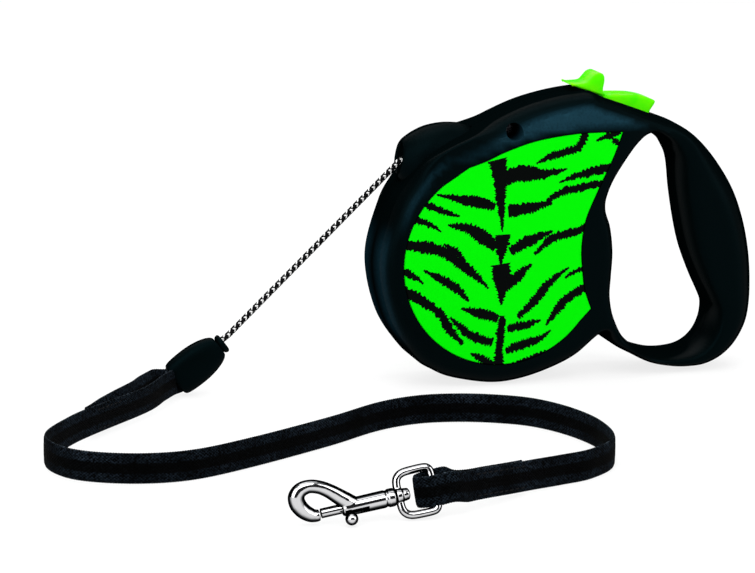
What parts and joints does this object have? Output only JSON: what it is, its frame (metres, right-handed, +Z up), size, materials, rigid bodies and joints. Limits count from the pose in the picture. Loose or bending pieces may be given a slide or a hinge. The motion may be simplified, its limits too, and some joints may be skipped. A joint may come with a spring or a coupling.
{
  "type": "retractable leash",
  "caption": "Retractable cord leash with a hand-loop casing, sprung cord reel, thumb brake, lock slide, webbing strap and swivel bolt snap.",
  "frame": {"origin": "on the floor under the middle of the casing, leaving out the cord, strap and snap", "axes": "+X from the cord outlet towards the back of the hand loop, +Y across the casing, +Z up"},
  "size_m": [0.2859, 0.1927, 0.1146],
  "materials": {
    "casing": "fine satin texture",
    "panel": "printed with dark stripes",
    "button": "slightly translucent",
    "steel": "plain",
    "chrome": "polished",
    "nylon": "moulded",
    "cord": "braided",
    "webbing": "woven"
  },
  "bodies": {
    "casing": {"left_shell": "casing", "right_shell": "casing", "cord_nose": "casing", "nose_eyelet": "steel", "side_panel_left": "panel", "side_panel_right": "panel", "case_screw_front": "steel", "case_screw_root": "steel", "case_screw_heel": "steel", "case_screw_crown": "steel", "reel_axle": "steel", "reel_washer_left": "nylon", "reel_washer_right": "nylon", "feed_cord": "cord", "lead_cord": "cord", "brake_spring": "steel", "lock_spring": "steel", "strap": "webbing", "swivel_eye": "chrome"},
    "reel": {"reel_drum": "nylon", "reel_cover": "nylon", "mainspring": "steel", "cord_winding": "cord"},
    "brake": {"brake_button": "button", "brake_pawl": "nylon"},
    "lock": {"lock_slide": "button"},
    "connector": {"connector_body": "casing", "connector_collar": "steel", "connector_pin": "steel"},
    "hook": {"hook_body": "chrome", "bolt_spring": "steel"},
    "bolt": {"hook_bolt": "chrome", "bolt_knob": "chrome"}
  },
  "joints": [
    {"name": "cord_payout", "type": "slide", "parent": "casing", "child": "connector", "axis": [0.7206, 0, 0.6933], "range_m": [0, 0.0757], "deforming": ["lead_cord", "strap"]},
    {"name": "reel_spin", "type": "hinge", "parent": "casing", "child": "reel", "pos_m": [-0.0283, 0, 0.04652], "axis": [0, 1, 0], "range_deg": [0, 120.1]},
    {"name": "brake_press", "type": "slide", "parent": "casing", "child": "brake", "axis": [-0.3355, 0, -0.942], "range_m": [0, 0.003], "stiffness_N_per_m": 400, "springref_m": -0.004, "deforming": ["brake_spring"]},
    {"name": "lock_slide_move", "type": "slide", "parent": "casing", "child": "lock", "axis": [-0.942, 0, 0.3355], "range_m": [0, 0.0035]},
    {"name": "hook_swivel", "type": "hinge", "parent": "casing", "child": "hook", "pos_m": [-0.1133, -0.17, 0.0076], "axis": [-0.9877, 0, -0.1564], "continuous": true},
    {"name": "bolt_pull", "type": "slide", "parent": "hook", "child": "bolt", "axis": [0.9877, 0, 0.1564], "range_m": [0, 0.0055], "stiffness_N_per_m": 250, "springref_m": -0.006, "deforming": ["bolt_spring"]}
  ],
  "couplings": [
    {"joint": "reel_spin", "follows": "cord_payout", "rad_per_m": 27.663}
  ]
}
